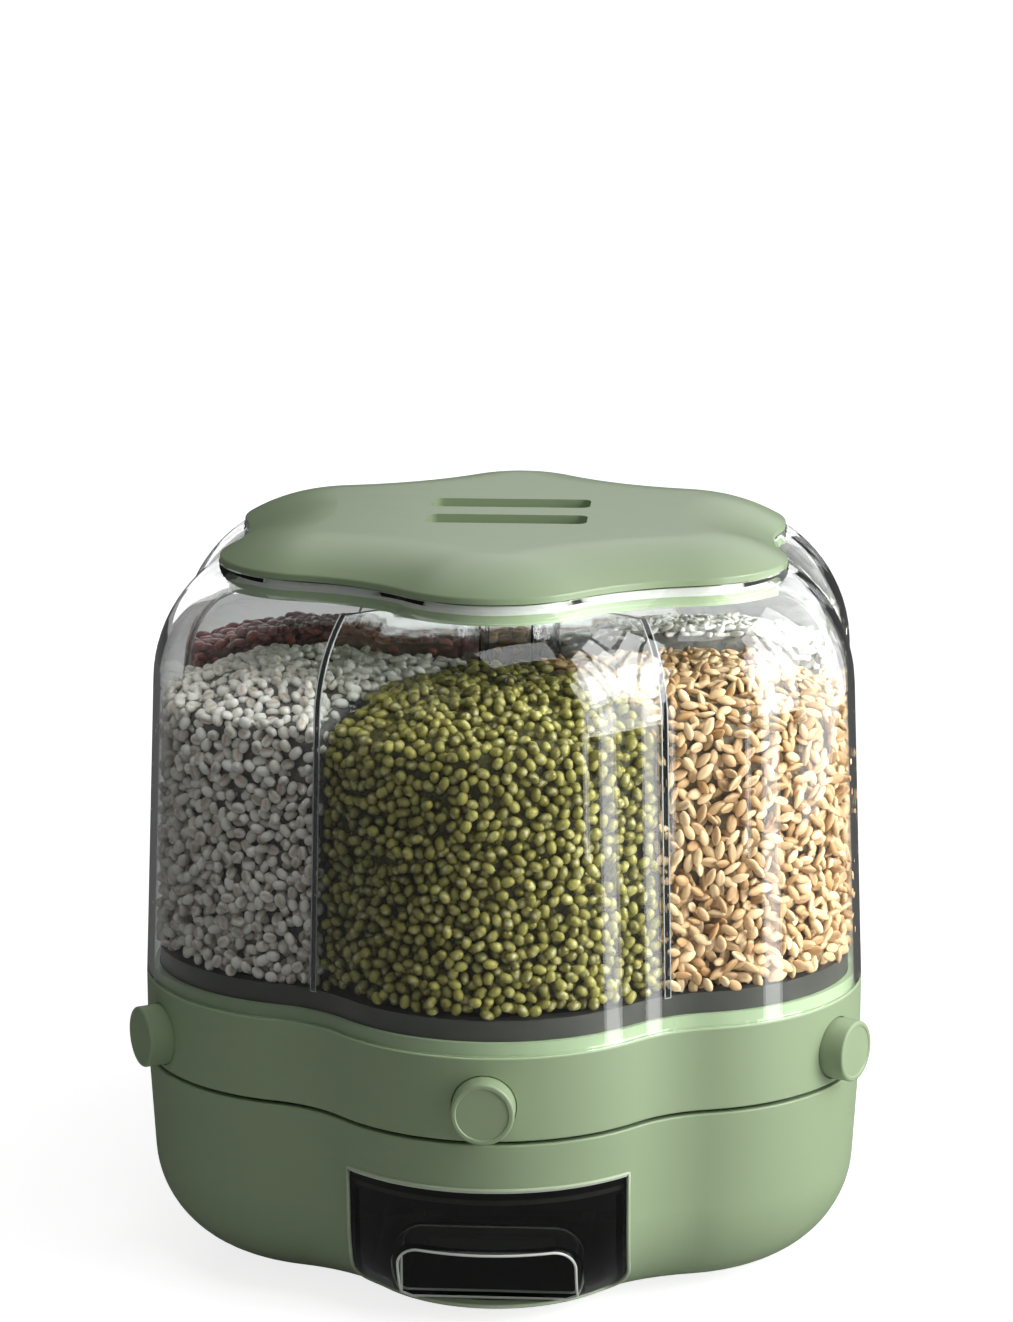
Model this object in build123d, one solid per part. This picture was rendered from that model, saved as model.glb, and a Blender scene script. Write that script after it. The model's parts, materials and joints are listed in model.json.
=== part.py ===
from build123d import *
import math
import os

# A six-lobed grain dispenser. A clear hopper with six compartments turns on a fixed base, a push
# button under each compartment opens a sliding gate, and the grain drops into a drawer at the front.
# Millimetres. Z is up, the drawer faces -Y, and the origin is on the turning axis at table height.

# Lobed outline, shared by the base, the ring, the hopper and the lid
LOBES = 6
LOBE_OFFSET = 76.0  # turning axis to the centre of a lobe's arc
LOBE_RADIUS = 77.2
VALLEY_RADIUS = 55.0
FRONT_ANGLE = -90.0  # degrees, the lobe with the drawer

# Clearances
RUN_GAP = 0.4  # between pieces that move past each other
SEAT_GAP = 0.3  # between pieces that only lie beside each other
SHAFT_GAP = 0.05  # radial, at the pivot
OVERRUN = 5.0  # how far cuts run past a face

# Base shell
FOOT_STAND = 2.0
BASE_HEIGHT = 79.8
BASE_WALL = 3.0
BASE_TAPER = 2.2
BASE_ROUND = 40.0
RIM_ROUND = 0.8
SEAM_GAP = 1.4
BOSS_RADIUS = 4.5
BOSS_REACH = 104.0
RAIL_WIDTH = 5.0
RAIL_SPREAD = 35.0
RAIL_FRONT = 108.0

# Rubber feet
FOOT_RADIUS = 8.0
FOOT_SEAT = 1.2
FOOT_REACH = 96.0
FOOT_BEVEL = 0.8

# Deck over the base, with the outlet spout
DECK_DROP = 8.8  # rim of the base to the top of the deck
DECK_THICK = 3.0
SPOUT_WALL = 2.0
SPOUT_MARGIN = 3.0  # how far the spout stands out round a drop port

# Drawer and its housing
WINDOW_WIDTH = 107.0
WINDOW_HEIGHT = 55.5
WINDOW_SILL = 6.0  # underside of the base to the sill
WINDOW_CORNER = 12.0
FRONT_GAP = 0.8  # round the drawer's front
TRAY_WIDTH = 101.0
TRAY_HEIGHT = 47.0
TRAY_BACK = 34.0  # turning axis to the back of the tray
TRAY_WALL = 2.2
TRAY_CORNER = 10.0
PULL_WIDTH = 68.0
PULL_HEIGHT = 28.0
PULL_DEPTH = 30.0
PULL_CORNER = 9.0
HOUSING_WALL = 2.0

# Button ring with the gate carrier
RING_HEIGHT = 32.8
RING_WALL = 3.0
SPIGOT_HEIGHT = 5.0
SPIGOT_WALL = 2.0
SPIGOT_ROOT = 4.5
LEDGE_DEPTH = 4.0
LEDGE_THICK = 2.0
CARRIER_RECESS = 1.0
CARRIER_THICK = 3.0

# Push buttons
BUTTON_RISE = 13.8  # underside of the ring to the button's axis
BUTTON_RADIUS = 12.0
BUTTON_PROUD = 9.0
BUTTON_TRAVEL = 8.0
BUTTON_FACE = 2.4
BUTTON_WALL = 2.0
BUTTON_EDGE = 1.0
DISH_RADIUS = 10.2
DISH_DEPTH = 0.4
FLANGE_WIDTH = 1.5
FLANGE_THICK = 2.0
SOCKET_RADIUS = 5.6
SOCKET_DEPTH = 7.0

# Sliding gates
PORT_REACH = 100.5  # turning axis to the middle of a drop port
PORT_DEPTH = 8.0
PORT_WIDTH = 44.0
PORT_WALL = 2.2
GATE_THICK = 2.4
GATE_EDGE = 3.0
GATE_LAP = 8.0  # how far the gate reaches past the port, towards the axis
TONGUE_WIDTH = 9.0
GUIDE_THICK = 2.0
SEAT_REACH = 124.0
SEAT_THICK = 2.5
SEAT_WIDTH = 22.0

# Button springs
SPRING_RADIUS = 6.9  # to the middle of the wire
SPRING_WIRE = 1.2  # square wire
SPRING_TURNS = 4

# Hopper
HOPPER_HEIGHT = 165.0
HOPPER_WALL = 2.8
HOPPER_TAPER = 5.0
SHOULDER_HEIGHT = 46.0
MOUTH_INSET = 31.5
COLLAR_WIDTH = 4.0
COLLAR_HEIGHT = 5.0
FOOT_CHAMFER = 0.6  # along the hopper's lower outer edge

# Hopper floor
FLOOR_SHOW = 8.0  # how far the floor's rim stands above the spigot
FLOOR_WALL = 2.2
FUNNEL_INSET = 10.0
FUNNEL_START = 34.0  # turning axis to the inner edge of a funnel
RIDGE_HALF = 2.5  # half of the flat ridge between two funnels

# Divider
VANE_THICK = 2.6
COLUMN_RADIUS = 22.0
COLUMN_WALL = 2.0
DIVIDER_DROP = 11.0  # mouth of the hopper to the top of the divider

# Lid
LID_INSET = 32.0
LID_THICK = 2.4
LID_EDGE = 1.0
LID_RISE = 10.0  # edge of the lid to its flat middle
DOME_WIDTH = 36.0  # how far the lid's slope runs in from its edge
SKIRT_DEPTH = 9.0
SKIRT_WALL = 2.2
SEAL_HEIGHT = 3.0
SEAL_DEPTH = 1.0
SEAL_PROUD = 0.3
GRIP_LENGTH = 64.0  # two finger wells with a bar between them
GRIP_WELL = 18.0
GRIP_BAR = 16.0
GRIP_DEPTH = 9.5
GRIP_CORNER = 4.0

# Pivot
SHAFT_RADIUS = 7.0
SHAFT_STEP = 2.0
POST_FLANGE_RADIUS = 18.0
POST_FLANGE_THICK = 3.0
BUSH_WALL = 3.0
BUSH_FLANGE = 2.5
BUSH_FLANGE_THICK = 1.5
HUB_WALL = 3.0
HUB_HEIGHT = 15.0
WASHER_RADIUS = 13.0
WASHER_THICK = 1.5
CLIP_THICK = 1.2
CLIP_WIDTH = 4.0
CLIP_GROOVE = 1.0
CLIP_GAP_ANGLE = 70.0
SHAFT_END = 3.0

# Ball bearing
RACE_RADIUS = 60.0
RACE_WIDTH = 11.0
RACE_THICK = 2.8
BALL_RADIUS = 3.5
BALL_COUNT = 8
BALL_GAP = 0.2
CAGE_WIDTH = 9.4
CAGE_THICK = 2.0

# Screws
SCREW_RADIUS = 1.5
SCREW_LENGTH = 12.0
SCREW_HEAD_RADIUS = 3.0
SCREW_HEAD_THICK = 2.0
POST_SCREWS = 3

# Angles and reaches that follow from the outline
PITCH = 360.0 / LOBES
HALF_PITCH = PITCH / 2
LOBE_ANGLES = [FRONT_ANGLE + PITCH * k for k in range(LOBES)]
half = math.radians(HALF_PITCH)
VALLEY_OFFSET = LOBE_OFFSET * math.cos(half) + math.sqrt(
    (LOBE_RADIUS + VALLEY_RADIUS) ** 2 - (LOBE_OFFSET * math.sin(half)) ** 2
)
LOBE_SWING = math.degrees(
    math.atan2(VALLEY_OFFSET * math.sin(half), VALLEY_OFFSET * math.cos(half) - LOBE_OFFSET)
)
VALLEY_SWING = LOBE_SWING - HALF_PITCH
LOBE_REACH = LOBE_OFFSET + LOBE_RADIUS
VALLEY_REACH = VALLEY_OFFSET - VALLEY_RADIUS

# Heights that follow
UNDERSIDE = FOOT_STAND
BASE_FLOOR = UNDERSIDE + BASE_WALL
ROUND_TOP = UNDERSIDE + BASE_ROUND
RIM = UNDERSIDE + BASE_HEIGHT
DECK_TOP = RIM - DECK_DROP
DECK_LOW = DECK_TOP - DECK_THICK
SILL = UNDERSIDE + WINDOW_SILL
LINTEL = SILL + WINDOW_HEIGHT
TRAY_LOW = SILL + FRONT_GAP
TRAY_TOP = TRAY_LOW + TRAY_HEIGHT
ROOF_LOW = TRAY_TOP + FRONT_GAP
ROOF_TOP = ROOF_LOW + HOUSING_WALL
RING_LOW = RIM + SEAM_GAP
RING_TOP = RING_LOW + RING_HEIGHT
SPIGOT_TOP = RING_TOP + SPIGOT_HEIGHT
SPIGOT_LOW = RING_TOP - SPIGOT_ROOT
LEDGE_TOP = SPIGOT_LOW + LEDGE_THICK
CARRIER_LOW = RING_LOW + CARRIER_RECESS
CARRIER_TOP = CARRIER_LOW + CARRIER_THICK
BUTTON_AXIS = RING_LOW + BUTTON_RISE
GATE_LOW = BUTTON_AXIS - GATE_THICK / 2
GATE_TOP = BUTTON_AXIS + GATE_THICK / 2
FLOOR_TOP = SPIGOT_TOP + FLOOR_SHOW
PORT_LOW = GATE_TOP + SEAT_GAP
MOUTH = RING_TOP + HOPPER_HEIGHT
SHOULDER = MOUTH - SHOULDER_HEIGHT
DIVIDER_TOP = MOUTH - DIVIDER_DROP
LID_LOW = MOUTH + SEAT_GAP
LID_FLANGE_TOP = LID_LOW + LID_THICK
LID_TOP = LID_FLANGE_TOP + LID_RISE
HUB_TOP = CARRIER_LOW + HUB_HEIGHT
BALL_HEIGHT = (DECK_TOP + CARRIER_LOW) / 2

# Insets and reaches that follow
SPIGOT_INSET = RING_WALL + SEAT_GAP
SPIGOT_INSIDE = SPIGOT_INSET + SPIGOT_WALL
FLOOR_INSET = SPIGOT_INSIDE + SEAT_GAP
COLLAR_INSET = MOUTH_INSET + COLLAR_WIDTH
SKIRT_INSET = COLLAR_INSET + RUN_GAP + SEAL_PROUD
FLANGE_RADIUS = BUTTON_RADIUS + FLANGE_WIDTH
FLANGE_FACE = LOBE_OFFSET + math.sqrt((LOBE_RADIUS - RING_WALL) ** 2 - FLANGE_RADIUS**2) - SEAT_GAP
FLANGE_BACK = FLANGE_FACE - FLANGE_THICK
BUTTON_FRONT = LOBE_REACH + BUTTON_PROUD
BUTTON_INSIDE = BUTTON_FRONT - BUTTON_FACE
PORT_IN = PORT_REACH - PORT_DEPTH / 2
PORT_OUT = PORT_REACH + PORT_DEPTH / 2
SLOT_IN = PORT_OUT + RUN_GAP
SLOT_OUT = SLOT_IN + PORT_DEPTH
GATE_IN = PORT_IN - GATE_LAP
GATE_OUT = SLOT_OUT + GATE_EDGE
GATE_HALF = PORT_WIDTH / 2 + GATE_EDGE
SEAT_OUT = SEAT_REACH + SEAT_THICK


def spot(angle, reach, height=0.0):
    """The place at a reach from the turning axis, with its X axis pointing outwards."""
    return Rot(0, 0, angle) * Pos(reach, 0, height)


def block(x_low, x_high, y_low, y_high, z_low, z_high):
    """A box between two corners."""
    centre = Pos((x_low + x_high) / 2, (y_low + y_high) / 2, (z_low + z_high) / 2)
    return centre * Box(x_high - x_low, y_high - y_low, z_high - z_low)


def rod(radius, z_low, z_high):
    """An upright cylinder on the turning axis."""
    return Pos(0, 0, (z_low + z_high) / 2) * Cylinder(radius, z_high - z_low)


def pipe(inner, outer, z_low, z_high):
    """An upright tube on the turning axis."""
    return rod(outer, z_low, z_high) - rod(inner, z_low - OVERRUN, z_high + OVERRUN)


def outline(inset):
    """The lobed outline, moved inwards by an inset: tangent arcs about fixed centres."""
    arcs = []
    for angle in LOBE_ANGLES:
        lobe = spot(angle, LOBE_OFFSET).position
        arcs.append(CenterArc(lobe, LOBE_RADIUS - inset, angle - LOBE_SWING, 2 * LOBE_SWING))
        facing = angle + HALF_PITCH
        valley = spot(facing, VALLEY_OFFSET).position
        start = facing + 180 + VALLEY_SWING
        arcs.append(CenterArc(valley, VALLEY_RADIUS + inset, start, -2 * VALLEY_SWING))
    return make_face(arcs)


def lobed_slab(inset, z_low, z_high):
    """A plate with the lobed outline."""
    return extrude(Pos(0, 0, z_low) * outline(inset), z_high - z_low)


def lobed_ring(draw):
    """A section carried round all lobes and valleys. draw gets the function from inset to reach."""
    lobe = revolve(Plane.XZ * draw(lambda inset: LOBE_RADIUS - inset), Axis.Z, 2 * LOBE_SWING)
    valley = revolve(Plane.XZ * draw(lambda inset: VALLEY_RADIUS + inset), Axis.Z, 2 * VALLEY_SWING)
    pieces = []
    for angle in LOBE_ANGLES:
        pieces.append(spot(angle, LOBE_OFFSET) * Rot(0, 0, -LOBE_SWING) * lobe)
        turn = Rot(0, 0, 180 - VALLEY_SWING)
        pieces.append(spot(angle + HALF_PITCH, VALLEY_OFFSET) * turn * valley)
    return pieces[0] + pieces[1:]


def lobed_band(inset_out, inset_in, z_low, z_high):
    """A lobed ring with a plain rectangular section."""

    def draw(reach):
        out, inside = reach(inset_out), reach(inset_in)
        return make_face(Polyline((out, z_low), (out, z_high), (inside, z_high), (inside, z_low), close=True))

    return lobed_ring(draw)


def corners(face, *points):
    """The corners of a flat section that lie nearest to some points."""
    return [face.vertices().sort_by_distance(point)[0] for point in points]


def at_lobes(piece):
    """A piece drawn along +X, copied to every lobe."""
    return [Rot(0, 0, angle) * piece for angle in LOBE_ANGLES]


def base_skin(depth, reach):
    """The base's side at a depth under its outer face: a tapered wall and the rounded bottom."""
    top = (reach(depth), RIM)
    turn = (reach(BASE_TAPER + depth), ROUND_TOP)
    foot = (reach(BASE_TAPER + BASE_ROUND), UNDERSIDE + depth)
    wall = Line(top, turn)
    return wall, TangentArc(turn, foot, tangent=wall % 1)


def base_side(depth, rim_round=0.0):
    """The base's lobed side wall, from its outer face to a depth under it, with a rounded rim."""

    def draw(reach):
        outer = base_skin(0, reach)
        inner = base_skin(depth, reach)
        rim = Line(outer[0] @ 0, inner[0] @ 0)
        foot = Line(outer[1] @ 1, inner[1] @ 1)
        face = make_face([*outer, foot, *inner, rim])
        return fillet(corners(face, (reach(0), RIM)), rim_round) if rim_round else face

    return lobed_ring(draw)


def base_inside(depth):
    """The room inside the base's side wall."""
    room = lobed_slab(depth, UNDERSIDE + depth, RIM) - base_side(depth)
    return room.solids().sort_by(SortBy.VOLUME)[-1]


def window(shrink, y_low, y_high):
    """The drawer's window, with rounded lower corners, as a bar along Y."""
    half_width = WINDOW_WIDTH / 2 - shrink
    bar = block(-half_width, half_width, y_low, y_high, SILL + shrink, LINTEL - shrink)
    lower = bar.edges().filter_by(Axis.Y).sort_by(Axis.Z)[:2]
    return fillet(lower, WINDOW_CORNER - shrink)


def screws(angles, reach, seat):
    """Pan-head screws, standing in a ring with their heads on a seat."""
    shank = rod(SCREW_RADIUS, seat - SCREW_LENGTH, seat)
    head = rod(SCREW_HEAD_RADIUS, seat, seat + SCREW_HEAD_THICK)
    return [spot(angle, reach) * (shank + head) for angle in angles]


def screw_holes(angles, reach, seat):
    """The holes that the screws stand in."""
    return [spot(angle, reach) * rod(SCREW_RADIUS, seat - SCREW_LENGTH, seat + OVERRUN) for angle in angles]


BOSS_ANGLES = LOBE_ANGLES[1:]  # every lobe but the drawer's
POST_ANGLES = [FRONT_ANGLE + 360.0 * k / POST_SCREWS for k in range(POST_SCREWS)]
POST_SCREW_REACH = (SHAFT_RADIUS + SHAFT_STEP + POST_FLANGE_RADIUS) / 2
SPOUT_HALF = PORT_WIDTH / 2 + SPOUT_MARGIN
SPOUT_IN = PORT_IN - SPOUT_MARGIN
SPOUT_OUT = PORT_OUT + SPOUT_MARGIN


def make_base_shell():
    shell = base_side(BASE_WALL, RIM_ROUND) + lobed_slab(BASE_TAPER + BASE_ROUND, UNDERSIDE, BASE_FLOOR)
    shell -= window(0, -LOBE_REACH - OVERRUN, -LOBE_OFFSET)
    bosses = [spot(angle, BOSS_REACH) * rod(BOSS_RADIUS, BASE_FLOOR, DECK_LOW) for angle in BOSS_ANGLES]
    rail_top = TRAY_LOW - SEAT_GAP
    rails = []
    for side in (-RAIL_SPREAD, RAIL_SPREAD):
        low, high = side - RAIL_WIDTH / 2, side + RAIL_WIDTH / 2
        rails.append(block(low, high, -RAIL_FRONT, -TRAY_BACK, BASE_FLOOR, rail_top))
    shell += bosses + rails
    shell -= screw_holes(BOSS_ANGLES, BOSS_REACH, DECK_TOP)
    seat = rod(FOOT_RADIUS, UNDERSIDE - OVERRUN, UNDERSIDE + FOOT_SEAT)
    return shell - [spot(angle, FOOT_REACH) * seat for angle in LOBE_ANGLES]


def make_rubber_feet():
    foot = rod(FOOT_RADIUS, 0, UNDERSIDE + FOOT_SEAT)
    foot = chamfer(foot.edges().sort_by(Axis.Z)[0], FOOT_BEVEL)
    return [spot(angle, FOOT_REACH) * foot for angle in LOBE_ANGLES]


def make_base_deck():
    taper_share = (RIM - DECK_LOW) / (RIM - ROUND_TOP)
    deck = lobed_slab(BASE_WALL + BASE_TAPER * taper_share + SEAT_GAP, DECK_LOW, DECK_TOP)
    grown = SPOUT_WALL
    spout_top = CARRIER_LOW - RUN_GAP
    deck += block(
        -SPOUT_HALF - grown, SPOUT_HALF + grown, -SPOUT_OUT - grown, -SPOUT_IN + grown, ROOF_LOW, spout_top
    )
    deck -= block(
        -SPOUT_HALF, SPOUT_HALF, -SPOUT_OUT, -SPOUT_IN, ROOF_LOW - OVERRUN, spout_top + OVERRUN
    )
    deck -= rod(SHAFT_RADIUS + SHAFT_STEP, DECK_LOW - OVERRUN, DECK_TOP + OVERRUN)
    deck -= screw_holes(BOSS_ANGLES, BOSS_REACH, DECK_TOP)
    return deck - screw_holes(POST_ANGLES, POST_SCREW_REACH, DECK_TOP + POST_FLANGE_THICK)


def make_drawer_housing():
    inside = TRAY_WIDTH / 2 + RUN_GAP
    outside = inside + HOUSING_WALL
    back = -TRAY_BACK + RUN_GAP
    front = -LOBE_REACH
    housing = block(-outside, outside, front, back + HOUSING_WALL, BASE_FLOOR, ROOF_TOP)
    housing -= block(-inside, inside, front - OVERRUN, back, BASE_FLOOR - OVERRUN, ROOF_LOW)
    hole = SPOUT_WALL + SEAT_GAP
    housing -= block(
        -SPOUT_HALF - hole, SPOUT_HALF + hole, -SPOUT_OUT - hole, -SPOUT_IN + hole, ROOF_LOW - OVERRUN, RIM
    )
    return housing & base_inside(BASE_WALL + SEAT_GAP)


def pull_bar(grow, y_high):
    """The arched room of the finger pull, open below, as a bar along Y."""
    half_width = PULL_WIDTH / 2 + grow
    top = TRAY_LOW + PULL_HEIGHT + grow
    bar = block(-half_width, half_width, -LOBE_REACH - OVERRUN, y_high, TRAY_LOW - OVERRUN, top)
    upper = bar.edges().filter_by(Axis.Y).sort_by(Axis.Z)[-2:]
    return fillet(upper, PULL_CORNER + grow)


def tray_bar(shrink, top):
    """The drawer's box, with rounded lower edges, before its front is cut to the lobe."""
    half_width = TRAY_WIDTH / 2 - shrink
    low = TRAY_LOW + shrink
    bar = block(-half_width, half_width, -LOBE_REACH - OVERRUN, -TRAY_BACK - shrink, low, top)
    lower = bar.edges().filter_by(Axis.Y).sort_by(Axis.Z)[:2]
    return fillet(lower, TRAY_CORNER - shrink)


def make_drawer_tray():
    skin = base_side(TRAY_WALL)
    inside = base_inside(TRAY_WALL)
    front = window(FRONT_GAP, -LOBE_REACH - OVERRUN, -LOBE_OFFSET) & skin
    box = tray_bar(0, TRAY_TOP) & (skin + inside)
    room = tray_bar(TRAY_WALL, RIM) & inside
    pull_back = PULL_DEPTH - LOBE_REACH
    pocket = pull_bar(TRAY_WALL, pull_back + TRAY_WALL) & box
    return (box - room) + front + pocket - pull_bar(0, pull_back)


def make_pivot_post():
    flange_top = DECK_TOP + POST_FLANGE_THICK
    clip_low = HUB_TOP + BUSH_FLANGE_THICK + SEAT_GAP + WASHER_THICK
    shaft_top = clip_low + CLIP_THICK + SHAFT_END
    post = rod(SHAFT_RADIUS + SHAFT_STEP, DECK_LOW, DECK_TOP) + rod(POST_FLANGE_RADIUS, DECK_TOP, flange_top)
    post += rod(SHAFT_RADIUS, flange_top, shaft_top)
    post = chamfer(post.edges().sort_by(Axis.Z)[-1], CLIP_GROOVE)
    post -= pipe(SHAFT_RADIUS - CLIP_GROOVE, SHAFT_RADIUS + OVERRUN, clip_low, clip_low + CLIP_THICK)
    return post - screw_holes(POST_ANGLES, POST_SCREW_REACH, flange_top)


def make_pivot_washer():
    low = HUB_TOP + BUSH_FLANGE_THICK + SEAT_GAP
    return pipe(SHAFT_RADIUS + SHAFT_GAP, WASHER_RADIUS, low, low + WASHER_THICK)


def make_pivot_clip():
    low = HUB_TOP + BUSH_FLANGE_THICK + SEAT_GAP + WASHER_THICK
    inner = SHAFT_RADIUS - CLIP_GROOVE
    outer = inner + CLIP_WIDTH
    ring = pipe(inner, outer, low, low + CLIP_THICK)
    spread = math.tan(math.radians(CLIP_GAP_ANGLE / 2)) * (outer + OVERRUN)
    mouth = Polyline((0, 0), (outer + OVERRUN, -spread), (outer + OVERRUN, spread), close=True)
    return ring - extrude(Pos(0, 0, low) * make_face(mouth), CLIP_THICK)


def race(z_low):
    """A bearing race with a ball groove."""
    ring = pipe(RACE_RADIUS - RACE_WIDTH / 2, RACE_RADIUS + RACE_WIDTH / 2, z_low, z_low + RACE_THICK)
    return ring - Pos(0, 0, BALL_HEIGHT) * Torus(RACE_RADIUS, BALL_RADIUS + BALL_GAP)


def make_lower_race():
    return race(DECK_TOP)


def make_upper_race():
    return race(CARRIER_LOW - RACE_THICK)


def make_bearing_balls():
    ball = Sphere(BALL_RADIUS)
    return [spot(360.0 * k / BALL_COUNT, RACE_RADIUS, BALL_HEIGHT) * ball for k in range(BALL_COUNT)]


def make_ball_cage():
    low, high = BALL_HEIGHT - CAGE_THICK / 2, BALL_HEIGHT + CAGE_THICK / 2
    cage = pipe(RACE_RADIUS - CAGE_WIDTH / 2, RACE_RADIUS + CAGE_WIDTH / 2, low, high)
    hole = rod(BALL_RADIUS + BALL_GAP, low - OVERRUN, high + OVERRUN)
    return cage - [spot(360.0 * k / BALL_COUNT, RACE_RADIUS) * hole for k in range(BALL_COUNT)]


def ring_section(reach):
    """The ring's wall, with the spigot that the hopper sits round and the ledge for its floor."""
    points = [
        (reach(0), RING_LOW),
        (reach(0), RING_TOP),
        (reach(SPIGOT_INSET), RING_TOP),
        (reach(SPIGOT_INSET), SPIGOT_TOP),
        (reach(SPIGOT_INSIDE), SPIGOT_TOP),
        (reach(SPIGOT_INSIDE), LEDGE_TOP),
        (reach(SPIGOT_INSIDE + LEDGE_DEPTH), LEDGE_TOP),
        (reach(SPIGOT_INSIDE + LEDGE_DEPTH), SPIGOT_LOW),
        (reach(RING_WALL), SPIGOT_LOW),
        (reach(RING_WALL), RING_LOW),
    ]
    face = make_face(Polyline(*points, close=True))
    return fillet(corners(face, points[0], points[1]), RIM_ROUND)


def gate_guides():
    """What carries one gate: a drop tube, two side rails and the spring's seat, along +X."""
    drop_top = GATE_LOW - SEAT_GAP
    tube = block(
        PORT_IN - PORT_WALL,
        PORT_OUT + PORT_WALL,
        -PORT_WIDTH / 2 - PORT_WALL,
        PORT_WIDTH / 2 + PORT_WALL,
        CARRIER_TOP,
        drop_top,
    )
    guides = [tube]
    for side in (-1, 1):
        near = side * (GATE_HALF + RUN_GAP)
        far = near + side * GUIDE_THICK
        guides.append(block(GATE_IN, GATE_OUT, min(near, far), max(near, far), CARRIER_TOP, BUTTON_AXIS))
    seat_top = BUTTON_AXIS + SPRING_RADIUS + SPRING_WIRE
    seat = block(SEAT_REACH, SEAT_OUT, -SEAT_WIDTH / 2, SEAT_WIDTH / 2, CARRIER_TOP, seat_top)
    notch = TONGUE_WIDTH / 2 + RUN_GAP
    seat -= block(
        SEAT_REACH - OVERRUN, SEAT_OUT + OVERRUN, -notch, notch, GATE_LOW - RUN_GAP, seat_top + OVERRUN
    )
    return guides + [seat]


def make_button_ring():
    ring = lobed_ring(ring_section) + lobed_slab(RING_WALL, CARRIER_LOW, CARRIER_TOP)
    for guide in gate_guides():
        ring += at_lobes(guide)
    bush = SHAFT_RADIUS + SHAFT_GAP + BUSH_WALL
    ring += rod(bush + HUB_WALL, CARRIER_LOW, HUB_TOP)
    ring -= rod(bush, CARRIER_LOW - OVERRUN, HUB_TOP + OVERRUN)
    port = block(
        PORT_IN, PORT_OUT, -PORT_WIDTH / 2, PORT_WIDTH / 2, CARRIER_LOW - OVERRUN, GATE_LOW + OVERRUN
    )
    middle = Pos(LOBE_REACH - RING_WALL / 2, 0, BUTTON_AXIS)
    hole = middle * Rot(0, 90, 0) * Cylinder(BUTTON_RADIUS + RUN_GAP, RING_WALL + 2 * OVERRUN)
    swept = FLANGE_BACK - BUTTON_TRAVEL - RUN_GAP
    relief_half = FLANGE_RADIUS + RUN_GAP
    relief = block(
        swept, LOBE_REACH - RING_WALL, -relief_half, relief_half, CARRIER_LOW - OVERRUN, CARRIER_TOP + OVERRUN
    )
    return ring - at_lobes(port) - at_lobes(hole) - at_lobes(relief)


def make_hub_bush():
    inner = SHAFT_RADIUS + SHAFT_GAP
    outer = inner + BUSH_WALL
    tube = pipe(inner, outer, CARRIER_LOW, HUB_TOP)
    return tube + pipe(inner, outer + BUSH_FLANGE, HUB_TOP, HUB_TOP + BUSH_FLANGE_THICK)


def funnel(grow, z_low, z_high):
    """One compartment's funnel, a ruled loft from a wedge in the lobe down to the drop port."""
    rise = math.tan(half)
    land = (RIDGE_HALF - grow) / math.cos(half)
    lobe = LOBE_RADIUS - FUNNEL_INSET + grow
    start = FUNNEL_START - grow
    # where the wedge's side meets the lobe's arc
    a = 1 + rise**2
    b = LOBE_OFFSET + rise * land
    meet = (b + math.sqrt(b**2 - a * (LOBE_OFFSET**2 + land**2 - lobe**2))) / a
    meet_side = meet * rise - land
    swing = math.atan2(meet_side, meet - LOBE_OFFSET) / 2
    corner = (LOBE_OFFSET + lobe * math.cos(swing), lobe * math.sin(swing))
    port_in, port_out = PORT_IN - grow, PORT_OUT + grow
    port_half = PORT_WIDTH / 2 + grow
    wedge = [(start, start * rise - land), (meet, meet_side), corner]
    port = [(port_in, port_half), (PORT_REACH, port_half), (port_out, port_half)]
    wedge_tip, port_tip = (LOBE_OFFSET + lobe, 0), (port_out, 0)
    faces = []
    for points, tip, height in ((port, port_tip, z_low), (wedge, wedge_tip, z_high)):
        mirrored = [(x, -y) for x, y in reversed(points)]
        faces.append(Pos(0, 0, height) * make_face(Polyline(*points, tip, *mirrored, close=True)))
    return loft(faces, ruled=True)


def make_hopper_floor():
    floor = lobed_band(FLOOR_INSET, FLOOR_INSET + FLOOR_WALL, LEDGE_TOP, FLOOR_TOP)
    floor += lobed_slab(FLOOR_INSET, FLOOR_TOP - FLOOR_WALL, FLOOR_TOP)
    floor += at_lobes(funnel(FLOOR_WALL, PORT_LOW, FLOOR_TOP))
    return floor - at_lobes(funnel(0, PORT_LOW, FLOOR_TOP))


def hopper_skin(depth, reach, low, top, top_inset):
    """The hopper's side at a depth under its outer face: a tapered wall and the round shoulder."""
    foot = (reach(depth), low)
    turn = (reach(HOPPER_TAPER + depth), SHOULDER)
    wall = Line(foot, turn)
    return wall, TangentArc(turn, (reach(top_inset), top), tangent=wall % 1)


def hopper_section(reach):
    outer = hopper_skin(0, reach, RING_TOP, MOUTH, MOUTH_INSET)
    inner = hopper_skin(HOPPER_WALL, reach, RING_TOP, MOUTH - COLLAR_HEIGHT, COLLAR_INSET)
    rim = Polyline(outer[1] @ 1, (reach(COLLAR_INSET), MOUTH), inner[1] @ 1)
    face = make_face([*outer, rim, *inner, Line(inner[0] @ 0, outer[0] @ 0)])
    return chamfer(corners(face, (reach(0), RING_TOP)), FOOT_CHAMFER)


def make_hopper_shell():
    return lobed_ring(hopper_section)


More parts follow.
